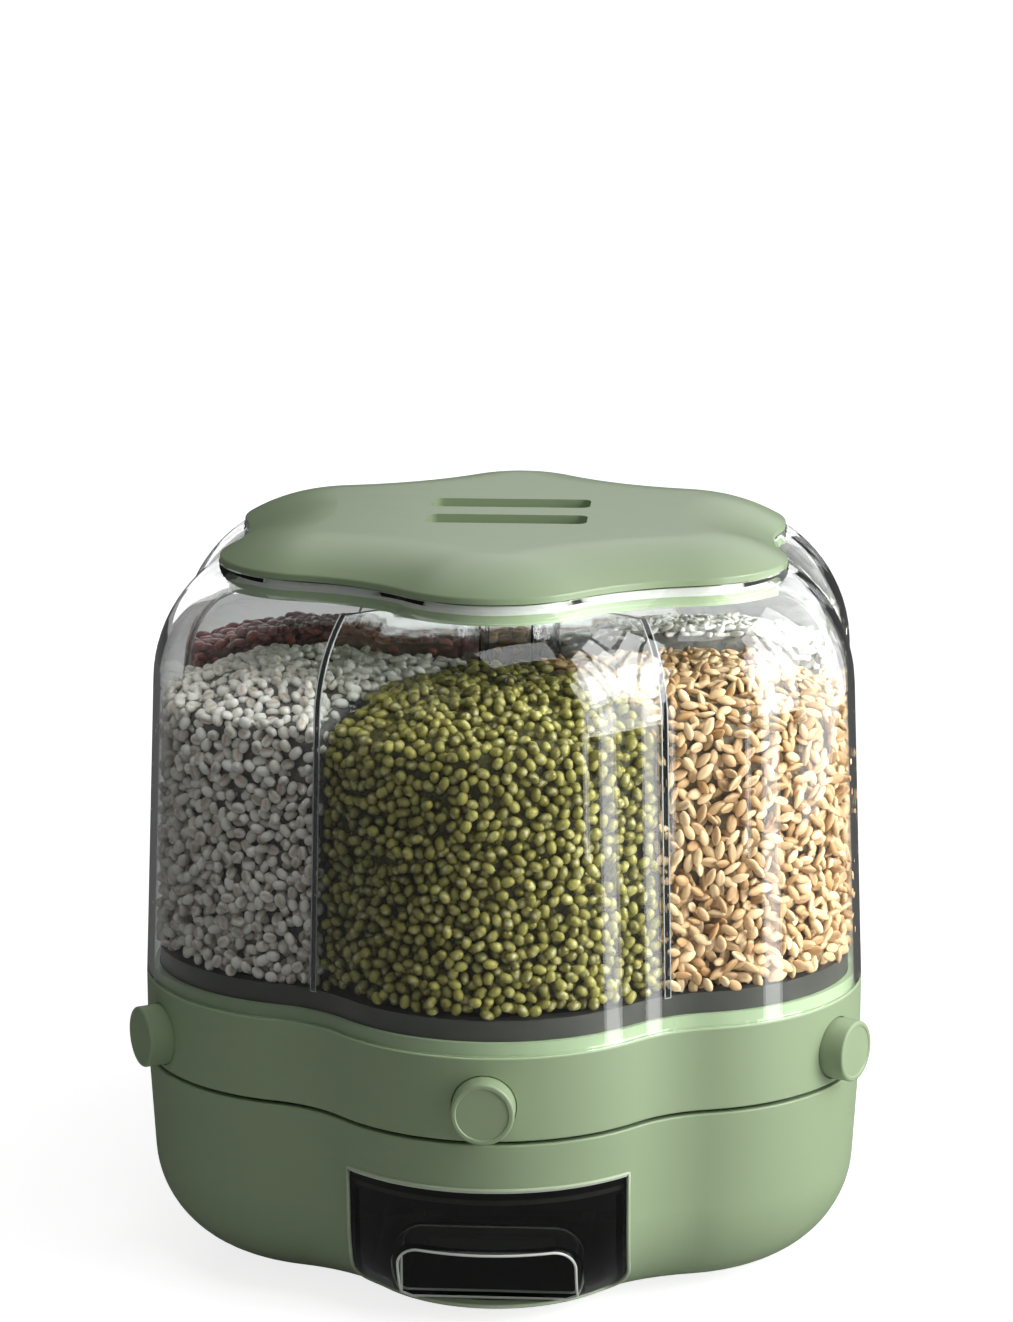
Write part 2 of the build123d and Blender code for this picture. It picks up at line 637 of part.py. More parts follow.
def make_divider():
    def reach(inset):
        return VALLEY_REACH - inset

    skin = hopper_skin(HOPPER_WALL + SEAT_GAP, reach, RING_TOP, MOUTH - COLLAR_HEIGHT, COLLAR_INSET + SEAT_GAP)
    top, low = MOUTH - COLLAR_HEIGHT, RING_TOP
    edges = [*skin, Polyline(skin[1] @ 1, (0, top), (0, low), skin[0] @ 0)]
    vane = extrude(Plane.XZ * make_face(edges), VANE_THICK / 2, both=True)
    vane &= block(0, LOBE_REACH, -VANE_THICK, VANE_THICK, FLOOR_TOP, DIVIDER_TOP)
    vanes = [Rot(0, 0, angle + HALF_PITCH) * vane for angle in LOBE_ANGLES]
    column = rod(COLUMN_RADIUS, FLOOR_TOP, DIVIDER_TOP)
    hollow = rod(COLUMN_RADIUS - COLUMN_WALL, FLOOR_TOP - OVERRUN, DIVIDER_TOP - COLUMN_WALL)
    return column + vanes - hollow


def make_button(angle):
    """A push button: a hollow cap with a dished face, a stop flange and a socket for its gate."""
    bore = BUTTON_RADIUS - BUTTON_WALL
    points = [
        (0, BUTTON_FRONT - DISH_DEPTH),
        (DISH_RADIUS - DISH_DEPTH, BUTTON_FRONT - DISH_DEPTH),
        (DISH_RADIUS, BUTTON_FRONT),
        (BUTTON_RADIUS, BUTTON_FRONT),
        (BUTTON_RADIUS, FLANGE_FACE),
        (FLANGE_RADIUS, FLANGE_FACE),
        (FLANGE_RADIUS, FLANGE_BACK),
        (bore, FLANGE_BACK),
        (bore, BUTTON_INSIDE),
        (SOCKET_RADIUS, BUTTON_INSIDE),
        (SOCKET_RADIUS, BUTTON_INSIDE - SOCKET_DEPTH),
        (0, BUTTON_INSIDE - SOCKET_DEPTH),
    ]
    face = make_face(Polyline(*points, close=True))
    cap = revolve(Plane.XZ * fillet(corners(face, points[3]), BUTTON_EDGE), Axis.Z)
    cap = Pos(0, 0, BUTTON_AXIS) * Rot(0, 90, 0) * cap
    return Rot(0, 0, angle) * (cap - tongue(SEAT_GAP / 2))


def tongue(grow):
    """The gate's tongue, which plugs into the button's socket."""
    wide = TONGUE_WIDTH / 2 + grow
    return block(GATE_OUT - GATE_EDGE, BUTTON_INSIDE, -wide, wide, GATE_LOW - grow, GATE_TOP + grow)


def make_gate(angle):
    """A sliding gate: a plate with a slot that comes under the port when the button is pressed."""
    plate = block(GATE_IN, GATE_OUT, -GATE_HALF, GATE_HALF, GATE_LOW, GATE_TOP)
    corners = plate.edges().filter_by(Axis.Z)
    plate = fillet(corners, GATE_EDGE)
    slot = block(
        SLOT_IN, SLOT_OUT, -PORT_WIDTH / 2, PORT_WIDTH / 2, GATE_LOW - OVERRUN, GATE_TOP + OVERRUN
    )
    return Rot(0, 0, angle) * (plate - slot + tongue(0))


def make_spring(angle):
    """A compression spring between its seat and the button, in half turns that meet tangentially."""
    start = SEAT_OUT + SPRING_WIRE / 2 + SEAT_GAP
    end = BUTTON_INSIDE - SPRING_WIRE / 2 - SEAT_GAP
    step = (end - start) / SPRING_TURNS / 2
    bulge = math.hypot(SPRING_RADIUS, step / 2)
    arcs = []
    for k in range(SPRING_TURNS * 2):
        side = 1 if k % 2 == 0 else -1
        from_x = start + step * k
        arcs.append(
            ThreePointArc(
                (from_x, 0, side * SPRING_RADIUS),
                (from_x + step / 2, side * bulge, 0),
                (from_x + step, 0, -side * SPRING_RADIUS),
            )
        )
    path = Wire(arcs)
    section = Plane(path @ 0, z_dir=path % 0) * Rectangle(SPRING_WIRE, SPRING_WIRE)
    coil = sweep(section, path=path)
    return Rot(0, 0, angle) * Pos(0, 0, BUTTON_AXIS) * coil


def lid_section(reach):
    """The lid's margin: a dome that falls from the flat middle to the edge, over the hopper's mouth."""
    flat, edge = reach(LID_INSET + DOME_WIDTH), reach(LID_INSET)
    root = reach(SKIRT_INSET + SKIRT_WALL)
    level = (edge - flat, 0)
    outer = TangentArc((flat, LID_TOP), (edge, LID_FLANGE_TOP), tangent=level)
    inner = TangentArc((flat, LID_TOP - LID_THICK), (root, LID_LOW), tangent=level)
    rim = Polyline(outer @ 1, (edge, LID_LOW), inner @ 1)
    face = make_face([outer, rim, inner, Line(inner @ 0, outer @ 0)])
    return fillet(corners(face, outer @ 1), LID_EDGE)


def finger_wells(grow, top):
    """The two wells of the lid's pinch grip, one on each side of the bar between them."""
    near, far = GRIP_BAR / 2 - grow, GRIP_BAR / 2 + GRIP_WELL + grow
    half_length = GRIP_LENGTH / 2 + grow
    low = LID_TOP - GRIP_DEPTH - grow
    well = block(-half_length, half_length, near, far, low, top)
    well = fillet(well.edges().filter_by(Axis.Z), GRIP_CORNER + grow)
    return [well, Rot(0, 0, 180) * well]


def make_lid_cover():
    middle = lobed_slab(LID_INSET + DOME_WIDTH, LID_TOP - LID_THICK, LID_TOP)
    skirt_low = MOUTH - SKIRT_DEPTH
    lid = lobed_ring(lid_section) + middle
    lid += lobed_band(SKIRT_INSET, SKIRT_INSET + SKIRT_WALL, skirt_low, LID_LOW)
    seal_low = skirt_low + SEAL_HEIGHT
    lid -= lobed_band(SKIRT_INSET - SEAL_PROUD, SKIRT_INSET + SEAL_DEPTH, seal_low, seal_low + SEAL_HEIGHT)
    lid += finger_wells(LID_THICK, LID_TOP)
    return lid - finger_wells(0, LID_TOP + OVERRUN)


def make_lid_seal():
    low = MOUTH - SKIRT_DEPTH + SEAL_HEIGHT
    return lobed_band(SKIRT_INSET - SEAL_PROUD, SKIRT_INSET + SEAL_DEPTH, low, low + SEAL_HEIGHT)


def save(name, shape):
    """One STEP per node. A list of pieces is one node of separate solids."""
    solids = shape if isinstance(shape, list) else [shape]
    whole = Compound(children=[solid for piece in solids for solid in piece.solids()])
    export_step(whole, f"parts/{name}.step")


def main():
    os.makedirs("parts", exist_ok=True)
    save("base_shell", make_base_shell())
    save("rubber_feet", make_rubber_feet())
    save("base_deck", make_base_deck())
    save("deck_screws", screws(BOSS_ANGLES, BOSS_REACH, DECK_TOP))
    save("drawer_housing", make_drawer_housing())
    save("drawer_tray", make_drawer_tray())
    save("pivot_post", make_pivot_post())
    save("post_screws", screws(POST_ANGLES, POST_SCREW_REACH, DECK_TOP + POST_FLANGE_THICK))
    save("pivot_washer", make_pivot_washer())
    save("pivot_clip", make_pivot_clip())
    save("lower_race", make_lower_race())
    save("upper_race", make_upper_race())
    save("bearing_balls", make_bearing_balls())
    save("ball_cage", make_ball_cage())
    save("button_ring", make_button_ring())
    save("hub_bush", make_hub_bush())
    save("hopper_floor", make_hopper_floor())
    save("hopper_shell", make_hopper_shell())
    save("divider", make_divider())
    for k, angle in enumerate(LOBE_ANGLES, 1):
        save(f"button_{k}", make_button(angle))
        save(f"gate_{k}", make_gate(angle))
        save(f"spring_{k}", make_spring(angle))
    save("lid_cover", make_lid_cover())
    save("lid_seal", make_lid_seal())


main()
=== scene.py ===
import json
import math

import bmesh
import bpy
import numpy as np
from mathutils import Matrix, Vector, kdtree

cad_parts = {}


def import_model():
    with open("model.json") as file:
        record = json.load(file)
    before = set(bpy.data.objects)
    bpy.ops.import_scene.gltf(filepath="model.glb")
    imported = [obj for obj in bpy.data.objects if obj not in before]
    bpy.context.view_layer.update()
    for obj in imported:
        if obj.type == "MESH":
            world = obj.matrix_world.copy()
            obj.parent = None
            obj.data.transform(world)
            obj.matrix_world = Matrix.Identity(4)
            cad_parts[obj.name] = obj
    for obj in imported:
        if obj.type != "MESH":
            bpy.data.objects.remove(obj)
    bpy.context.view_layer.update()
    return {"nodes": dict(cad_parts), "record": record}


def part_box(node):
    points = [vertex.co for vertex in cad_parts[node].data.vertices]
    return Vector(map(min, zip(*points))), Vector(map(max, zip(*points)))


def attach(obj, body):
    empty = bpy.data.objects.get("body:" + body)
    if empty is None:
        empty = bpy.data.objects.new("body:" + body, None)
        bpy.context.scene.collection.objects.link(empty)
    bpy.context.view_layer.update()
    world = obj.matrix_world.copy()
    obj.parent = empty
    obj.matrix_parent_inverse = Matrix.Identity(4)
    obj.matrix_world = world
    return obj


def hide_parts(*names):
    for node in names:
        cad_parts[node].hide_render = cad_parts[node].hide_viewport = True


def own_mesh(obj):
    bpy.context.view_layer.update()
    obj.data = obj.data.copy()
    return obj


# The look of a rotating grain dispenser: finishes for its parts, the grain in its compartments,
# its button springs, a pale floor, soft light and the camera. Metres, in the part's own frame.

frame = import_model()
nodes = frame["nodes"]

MM = 0.001
LOBES = 6
PITCH = math.radians(360 / LOBES)
HALF_PITCH = PITCH / 2
FRONT_ANGLE = math.radians(-90)

# Lobed outline of the hopper's inner face, as the part has it
LOBE_OFFSET = 76.0 * MM
LOBE_RADIUS = 77.2 * MM
VALLEY_RADIUS = 55.0 * MM
VALLEY_OFFSET = LOBE_OFFSET * math.cos(HALF_PITCH) + math.sqrt(
    (LOBE_RADIUS + VALLEY_RADIUS) ** 2 - (LOBE_OFFSET * math.sin(HALF_PITCH)) ** 2
)
LOBE_SWING = math.atan2(
    VALLEY_OFFSET * math.sin(HALF_PITCH), VALLEY_OFFSET * math.cos(HALF_PITCH) - LOBE_OFFSET
)
HOPPER_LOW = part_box("hopper_shell")[0].z
FLOOR_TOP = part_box("hopper_floor")[1].z
SHOULDER = 235.0 * MM
SHOULDER_RADIUS = 44.0 * MM
HOPPER_WALL = 2.8 * MM
HOPPER_TAPER = 5.0 * MM
VANE_HALF = 1.3 * MM
COLUMN_RADIUS = 22.0 * MM


# Ways to build materials

COLOUR_FIRST = 6  # the mix node's colour sockets
COLOUR_SECOND = 7
COLOUR_MIXED = 2
NOISE_DETAIL = 2.0


def new_material(name):
    """A material and its shader."""
    mat = bpy.data.materials.new(name)
    mat.use_nodes = True
    return mat, mat.node_tree.nodes["Principled BSDF"]


def set_inputs(node, **values):
    """Some of a node's inputs, set by name."""
    for name, value in values.items():
        node.inputs[name.replace("_", " ")].default_value = value


def add_node(mat, kind, **values):
    """A node of a kind, with some of its inputs set by name."""
    node = mat.node_tree.nodes.new(kind)
    set_inputs(node, **values)
    return node


def join(mat, start, end):
    mat.node_tree.links.new(start, end)


def show(mat, shader):
    """Makes a shader what the material shows."""
    join(mat, shader, mat.node_tree.nodes["Material Output"].inputs["Surface"])


def noise(mat, scale, detail=NOISE_DETAIL):
    """Noise in the part's own coordinates."""
    place = add_node(mat, "ShaderNodeTexCoord")
    texture = add_node(mat, "ShaderNodeTexNoise", Scale=scale, Detail=detail)
    join(mat, place.outputs["Object"], texture.inputs["Vector"])
    return texture.outputs["Fac"]


def ramp(mat, source, low, high):
    """A number from 0 to 1, spread between two values."""
    spread = add_node(mat, "ShaderNodeMapRange", To_Min=low, To_Max=high)
    join(mat, source, spread.inputs["Value"])
    return spread.outputs["Result"]


def shaded(colour, share):
    """A colour with a share of its brightness."""
    return tuple(c * share for c in colour)


def blend_colours(mat, factor, first, second):
    """A mix of two colours, each a plain one or a socket."""
    mix = mat.node_tree.nodes.new("ShaderNodeMix")
    mix.data_type = "RGBA"
    join(mat, factor, mix.inputs["Factor"])
    for socket, colour in ((mix.inputs[COLOUR_FIRST], first), (mix.inputs[COLOUR_SECOND], second)):
        if isinstance(colour, tuple):
            socket.default_value = (*colour, 1.0)
        else:
            join(mat, colour, socket)
    return mix.outputs[COLOUR_MIXED]


def bump(mat, shader, source, depth, strength):
    node = add_node(mat, "ShaderNodeBump", Strength=strength, Distance=depth)
    join(mat, source, node.inputs["Height"])
    join(mat, node.outputs["Normal"], shader.inputs["Normal"])


# Moulded plastic

CLOUD_SCALE = 14.0  # scales are in waves to the metre
CLOUD_SHARE = 0.95
GLOSS_SCALE = 60.0
GLOSS_SPREAD = 0.03
ERODED_SCALE = 2200.0
ERODED_DETAIL = 1.0
ERODED_STRENGTH = 0.35


def moulded(name, colour, roughness, grain_depth):
    """Moulded plastic: a faint unevenness of colour and gloss over a fine spark-eroded grain."""
    mat, shader = new_material(name)
    cloud = noise(mat, CLOUD_SCALE)
    join(mat, blend_colours(mat, cloud, shaded(colour, CLOUD_SHARE), colour), shader.inputs["Base Color"])
    fine = noise(mat, ERODED_SCALE, ERODED_DETAIL)
    gloss = ramp(mat, noise(mat, GLOSS_SCALE), roughness - GLOSS_SPREAD, roughness + GLOSS_SPREAD)
    join(mat, gloss, shader.inputs["Roughness"])
    bump(mat, shader, fine, grain_depth, ERODED_STRENGTH)
    return mat


# Clear plastic

PLASTIC_IOR = 1.49
HAZE_SCALE = 25.0
HAZE_SHARES = (0.6, 1.4)


def clear_plastic(name, tint, film_tint, roughness):
    """Clear plastic that lets the lamps light what is behind it."""
    mat, shader = new_material(name)
    set_inputs(shader, Base_Color=(*tint, 1.0), Transmission_Weight=1.0, IOR=PLASTIC_IOR)
    least, most = (roughness * share for share in HAZE_SHARES)
    join(mat, ramp(mat, noise(mat, HAZE_SCALE), least, most), shader.inputs["Roughness"])
    path = add_node(mat, "ShaderNodeLightPath")
    film = add_node(mat, "ShaderNodeBsdfTransparent", Color=(*film_tint, 1.0))
    mix = add_node(mat, "ShaderNodeMixShader")
    join(mat, path.outputs["Is Shadow Ray"], mix.inputs["Fac"])
    join(mat, shader.outputs["BSDF"], mix.inputs[1])
    join(mat, film.outputs["BSDF"], mix.inputs[2])
    show(mat, mix.outputs["Shader"])
    return mat


# Steel and rubber

STEEL_COLOURS = ((0.60, 0.60, 0.61), (0.72, 0.72, 0.72))
STEEL_SCALE = 500.0
DRAWN_SCALE = 900.0
DRAWN_GLOSS = (0.22, 0.38)
RUBBER_SCALE = 300.0
RUBBER_SHARE = 0.85
RUBBER_GRAIN_SCALE = 1500.0
RUBBER_GRAIN = 0.05 * MM
RUBBER_STRENGTH = 0.3


def steel(name):
    """Plated steel with a fine drawn grain."""
    mat, shader = new_material(name)
    set_inputs(shader, Metallic=1.0)
    join(mat, blend_colours(mat, noise(mat, STEEL_SCALE), *STEEL_COLOURS), shader.inputs["Base Color"])
    join(mat, ramp(mat, noise(mat, DRAWN_SCALE), *DRAWN_GLOSS), shader.inputs["Roughness"])
    return mat


def rubbery(name, colour, roughness):
    """Rubber or silicone with a dull, slightly uneven skin."""
    mat, shader = new_material(name)
    skin = blend_colours(mat, noise(mat, RUBBER_SCALE), shaded(colour, RUBBER_SHARE), colour)
    join(mat, skin, shader.inputs["Base Color"])
    set_inputs(shader, Roughness=roughness)
    bump(mat, shader, noise(mat, RUBBER_GRAIN_SCALE), RUBBER_GRAIN, RUBBER_STRENGTH)
    return mat


SAGE = (0.315, 0.410, 0.245)
MATT_GRAIN = 0.02 * MM
LID_GRAIN = 0.006 * MM
FINISH = {
    "sage_plastic": moulded("sage_plastic", SAGE, 0.42, MATT_GRAIN),
    "lid_plastic": moulded("lid_plastic", SAGE, 0.32, LID_GRAIN),
    "clear_plastic": clear_plastic("clear_plastic", (0.97, 0.985, 0.98), (0.98, 0.99, 0.99), 0.008),
    "smoke_plastic": clear_plastic("smoke_plastic", (0.55, 0.56, 0.55), (0.28, 0.29, 0.28), 0.008),
    "dark_plastic": moulded("dark_plastic", (0.040, 0.041, 0.033), 0.45, MATT_GRAIN),
    "white_nylon": moulded("white_nylon", (0.72, 0.72, 0.68), 0.4, MATT_GRAIN),
    "soft_rubber": rubbery("soft_rubber", (0.03, 0.03, 0.03), 0.7),
    "seal_silicone": rubbery("seal_silicone", (0.62, 0.64, 0.60), 0.5),
    "bright_steel": steel("bright_steel"),
}

for part in frame["record"]["subparts"]:
    mesh = nodes[part["node"]].data
    mesh.materials.clear()
    mesh.materials.append(FINISH[part["material_slot"]])


# Pale round wire along moulded edges: painted highlights for the light that the edges catch

EDGE_ANGLE = math.radians(50)
EDGE_SEAM = 0.01 * MM
LEAST_LINE = 12.0 * MM
WIRE_ROUNDING = 2


def sharp_links(grid, shown):
    """Which points of a mesh its sharp edges join, as far as a test of their places allows."""
    links = {}
    for edge in grid.edges:
        sharp = len(edge.link_faces) == 2 and edge.calc_face_angle() > EDGE_ANGLE
        if sharp and all(shown(v.co) for v in edge.verts):
            first, second = (v.index for v in edge.verts)
            links.setdefault(first, []).append(second)
            links.setdefault(second, []).append(first)
    return links


def sharp_paths(name, shown):
    """Paths along a part's sharp edges, from end to end, without the short ones."""
    grid = bmesh.new()
    grid.from_mesh(nodes[name].data)
    bmesh.ops.remove_doubles(grid, verts=grid.verts, dist=EDGE_SEAM)
    grid.verts.index_update()
    grid.verts.ensure_lookup_table()
    links = sharp_links(grid, shown)
    paths = []
    while links:
        here = min(links, key=lambda v: (len(links[v]) != 1, v))
        path = [here]
        while links.get(here):
            there = links[here].pop(0)
            links[there].remove(here)
            path.append(there)
            here = there
        links = {v: joined for v, joined in links.items() if joined}
        places = [grid.verts[v].co.copy() for v in path]
        if sum((b - a).length for a, b in zip(places, places[1:])) > LEAST_LINE:
            paths.append(places)
    grid.free()
    return paths


def wire_mesh(name, paths, radius, mat):
    """Round wire along paths, as one mesh."""
    curve = bpy.data.curves.new(name, "CURVE")
    curve.dimensions = "3D"
    curve.bevel_depth = radius
    curve.bevel_resolution = WIRE_ROUNDING
    curve.use_fill_caps = True
    for path in paths:
        spline = curve.splines.new("POLY")
        spline.points.add(len(path) - 1)
        for point, place in zip(spline.points, path):
            point.co = (*place, 1.0)
    drawn = bpy.data.objects.new(name, curve)
    mesh = bpy.data.meshes.new_from_object(drawn)
    bpy.data.objects.remove(drawn)
    mesh.materials.clear()
    mesh.materials.append(mat)
    piece = bpy.data.objects.new(name, mesh)
    bpy.context.scene.collection.objects.link(piece)
    return piece


FRONT_EDGES = -105.0 * MM
PULL_HALF = 34.2 * MM
PULL_TOP = 37.0 * MM
FRONT_HALF = 52.3 * MM
FRONT_TOP = 62.5 * MM
WINDOW_EDGES = -109.0 * MM
WINDOW_HALF = 53.6 * MM
WINDOW_LOW = 7.9 * MM
WINDOW_TOP = 63.6 * MM
VANE_TIP = 85.0 * MM


def on_pull(p):
    return p.y < FRONT_EDGES and abs(p.x) < PULL_HALF and p.z < PULL_TOP


def on_front(p):
    return p.y < FRONT_EDGES and (abs(p.x) > FRONT_HALF or p.z > FRONT_TOP)


def on_window(p):
    return p.y < WINDOW_EDGES and abs(p.x) < WINDOW_HALF and WINDOW_LOW < p.z < WINDOW_TOP


def on_vane_tip(p):
    return math.hypot(p.x, p.y) > VANE_TIP


EDGE_GRAIN = 0.005 * MM
PULL_LINE = 0.55 * MM
FRONT_LINE = 0.3 * MM
WINDOW_LINE = 0.8 * MM
VANE_LINE = 0.3 * MM
# The wires' pale colours are painted highlights, lighter than the smoke, clear and sage plastic they lie on
SMOKE_EDGE_HIGHLIGHT = moulded("smoke_edge_highlight", (0.70, 0.73, 0.68), 0.25, EDGE_GRAIN)
SAGE_EDGE_HIGHLIGHT = moulded("sage_edge_highlight", (0.47, 0.56, 0.39), 0.4, EDGE_GRAIN)
CLEAR_EDGE_HIGHLIGHT = moulded("clear_edge_highlight", (0.45, 0.47, 0.46), 0.2, EDGE_GRAIN)
EDGE_LINES = [
    ("pull_edge_highlight", "drawer_tray", on_pull, PULL_LINE, SMOKE_EDGE_HIGHLIGHT, "drawer"),
    ("front_edge_highlight", "drawer_tray", on_front, FRONT_LINE, SMOKE_EDGE_HIGHLIGHT, "drawer"),
    ("window_edge_highlight", "base_shell", on_window, WINDOW_LINE, SAGE_EDGE_HIGHLIGHT, "base"),
    ("vane_edge_highlight", "divider", on_vane_tip, VANE_LINE, CLEAR_EDGE_HIGHLIGHT, "rotor"),
]
for name, node, shown, radius, mat, body in EDGE_LINES:
    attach(wire_mesh(name, sharp_paths(node, shown), radius, mat), body)


# Seeds

SEED_SEGMENTS = 8
SEED_RINGS = 6
MARK_SHARE = 0.6
MARK_FALL = 6  # how quickly the mark and the groove fade round the seed
BARREL_POWERS = (2.6, 0.5)
POINTED_POWERS = (2, 0.66)


def seed_shape(profile, groove, mark_half, segments=SEED_SEGMENTS, rings=SEED_RINGS):
    """A unit seed along X: its points, its faces and how strongly each point carries the seed's mark.

    profile gives the girth along the length, groove sinks one side, and mark_half is the half length of
    the mark on that side.
    """
    points, marks, faces = [(-1.0, 0.0, 0.0)], [0.0], []
    for ring in range(1, rings):
        along = -math.cos(math.pi * ring / rings)
        girth = profile(along)
        for k in range(segments):
            turn = 2 * math.pi * k / segments
            side = max(0.0, math.cos(turn)) ** MARK_FALL
            sink = 1 - groove * side
            points.append((along, girth * math.sin(turn), girth * math.cos(turn) * sink))
            marks.append(MARK_SHARE * side if abs(along) <= mark_half else 0.0)
    points.append((1.0, 0.0, 0.0))
    marks.append(0.0)
    last = len(points) - 1
    for k in range(segments):
        after = (k + 1) % segments
        faces.append((0, 1 + after, 1 + k))
        for ring in range(rings - 2):
            here = 1 + ring * segments
            there = here + segments
            faces.append((here + k, here + after, there + after, there + k))
        top = 1 + (rings - 2) * segments
        faces.append((last, top + k, top + after))
    return np.array(points), faces, np.array(marks)


def barrel(along):
    blunt, full = BARREL_POWERS
    return (1 - abs(along) ** blunt) ** full


def pointed(along):
    blunt, full = POINTED_POWERS
    return (1 - along**blunt) ** full


# The kinds of grain, from the front compartment and counter-clockwise. rise is how much higher it stands at
# the wall and half its half sizes, both in millimetres; mark_half is a share of the half length.
SEEDS = [
    {
        "name": "mung", "rise": 0.0, "half": (2.7, 2.0, 2.0),
        "girth": barrel, "groove": 0.0, "mark_half": 0.35, "gloss": 0.32,
        "colours": ((0.125, 0.113, 0.014), (0.33, 0.305, 0.07)), "mark": (0.62, 0.60, 0.40),
    },
    {
        "name": "oat", "rise": 0.0, "half": (3.9, 2.05, 1.35),
        "girth": pointed, "groove": 0.3, "mark_half": 0.75, "gloss": 0.5,
        "colours": ((0.46, 0.27, 0.11), (0.86, 0.66, 0.40)), "mark": (0.26, 0.13, 0.05),
    },
    {
        "name": "rice", "rise": 10.0, "half": (3.2, 1.64, 1.43),
        "girth": barrel, "groove": 0.0, "mark_half": 0.0, "gloss": 0.4,
        "colours": ((0.80, 0.78, 0.70), (0.95, 0.94, 0.90)), "mark": (0.8, 0.8, 0.8),
    },
    {
        "name": "soy", "rise": 8.0, "half": (3.3, 2.9, 2.8),
        "girth": barrel, "groove": 0.0, "mark_half": 0.3, "gloss": 0.42,
        "colours": ((0.50, 0.27, 0.07), (0.68, 0.42, 0.14)), "mark": (0.42, 0.25, 0.10),
    },
    {
        "name": "adzuki", "rise": 8.0, "half": (3.4, 2.4, 2.3),
        "girth": barrel, "groove": 0.0, "mark_half": 0.35, "gloss": 0.35,
        "colours": ((0.17, 0.026, 0.026), (0.34, 0.075, 0.062)), "mark": (0.6, 0.5, 0.42),
    },
    {
        "name": "pearl", "rise": 0.0, "half": (2.8, 2.15, 1.9),
        "girth": barrel, "groove": 0.3, "mark_half": 0.6, "gloss": 0.45,
        "colours": ((0.80, 0.77, 0.69), (0.96, 0.94, 0.88)), "mark": (0.36, 0.19, 0.08),
    },
]

MOTTLE_SCALE = 700.0
MOTTLE_SHARE = 0.75
SOFT_SCALE = 420.0
SOFT_SHARES = (0.55, 1.0)
SKIN_SCALE = 900.0
SKIN_DEPTH = 0.1 * MM
SKIN_STRENGTH = 0.25


def seed_material(kind):
    """Skins that differ from seed to seed, with the seed's own scar or crease."""
    mat, shader = new_material(f"{kind['name']}_skin")
    island = add_node(mat, "ShaderNodeNewGeometry")
    tone = blend_colours(mat, island.outputs["Random Per Island"], *kind["colours"])
    dark = shaded(kind["colours"][0], MOTTLE_SHARE)
    mottled = blend_colours(mat, noise(mat, MOTTLE_SCALE), dark, tone)
    soft = blend_colours(mat, ramp(mat, noise(mat, SOFT_SCALE), *SOFT_SHARES), mottled, tone)
    mark = add_node(mat, "ShaderNodeAttribute")
    mark.attribute_name = "mark"
    join(mat, blend_colours(mat, mark.outputs["Fac"], soft, kind["mark"]), shader.inputs["Base Color"])
    set_inputs(shader, Roughness=kind["gloss"])
    bump(mat, shader, noise(mat, SKIN_SCALE), SKIN_DEPTH, SKIN_STRENGTH)
    return mat


# Where grain can lie, in the frame of one lobe: X outwards from the turning axis

GRAIN_SIDE = 233.0 * MM  # how high the grain stands at the clear wall
GRAIN_CROWN = 12.0 * MM  # how much higher it is in the middle
GRAIN_SLOPE = 42.0 * MM  # how far the slope reaches in from the wall
UNEVEN_RISE = 1.5 * MM
UNEVEN_ALONG = 130  # radians to the metre
UNEVEN_ACROSS = 170
UNEVEN_START = 1
SLOPE_STEP = 0.2 * MM
LEAST_SLOPE = 1e-9


def wall_gap(p):
    """How far points lie inside the hopper's inner face."""
    x, y, z = p[:, 0], np.abs(p[:, 1]), p[:, 2]
    inset = HOPPER_WALL + HOPPER_TAPER * (np.minimum(z, SHOULDER) - HOPPER_LOW) / (SHOULDER - HOPPER_LOW)
    above = np.clip(z - SHOULDER, 0, SHOULDER_RADIUS)
    inset = inset + SHOULDER_RADIUS - np.sqrt(SHOULDER_RADIUS**2 - above**2)
    lobe = LOBE_RADIUS - inset - np.hypot(x - LOBE_OFFSET, y)
    valley_x = VALLEY_OFFSET * math.cos(HALF_PITCH)
    valley_y = VALLEY_OFFSET * math.sin(HALF_PITCH)
    valley = np.hypot(x - valley_x, y - valley_y) - VALLEY_RADIUS - inset
    return np.where(np.arctan2(y, x - LOBE_OFFSET) <= LOBE_SWING, lobe, valley)


def side_gap(p):
    """How far points lie from the two vanes and the column between them."""
    x, y = p[:, 0], np.abs(p[:, 1])
    vane = x * math.sin(HALF_PITCH) - y * math.cos(HALF_PITCH) - VANE_HALF
    return np.minimum(vane, np.hypot(x, y) - COLUMN_RADIUS)


def top_gap(p, side):
    """How far points lie under the surface of a heap that stands so high at the wall."""
    level = p.copy()
    level[:, 2] = side
    share = np.clip(wall_gap(level) / GRAIN_SLOPE, 0, 1)
    uneven = np.sin(p[:, 0] * UNEVEN_ALONG + UNEVEN_START) * np.cos(p[:, 1] * UNEVEN_ACROSS) * UNEVEN_RISE
    return side + GRAIN_CROWN * share * share * (3 - 2 * share) + uneven - p[:, 2]


def shown_gap(p, side):
    """How far points lie from where the grain is seen: its top and the clear wall."""
    return np.minimum(wall_gap(p), top_gap(p, side))


def room(p, side):
    """How far points lie from everything that bounds the grain."""
    return np.minimum(np.minimum(shown_gap(p, side), side_gap(p)), p[:, 2] - FLOOR_TOP)


def slope_of(gap, p, side):
    """The direction in which a gap grows."""
    steps = SLOPE_STEP * np.eye(3)
    grown = np.stack([gap(p + step, side) - gap(p - step, side) for step in steps], axis=1)
    return grown / np.maximum(np.linalg.norm(grown, axis=1, keepdims=True), LEAST_SLOPE)


# Loose seeds in the outer layers of the grain

SEED_TRIES = 160000
SPACING_SHARE = 0.97
NEAREST_SHARE = 0.8
LIFT_SHARE = 1.1  # of a seed's half thickness, from its middle to a wall
KEPT_SHARE = 0.8
LAYERS = 2.0
RELAX_TURNS = 10
PUSH_SHARE = 0.25
SEED_TILT = 0.5
FLIPPED_SHARE = 0.5
SIZE_SPREAD_SHARE = 0.05
SIZE_SHARES = (0.88, 1.1)


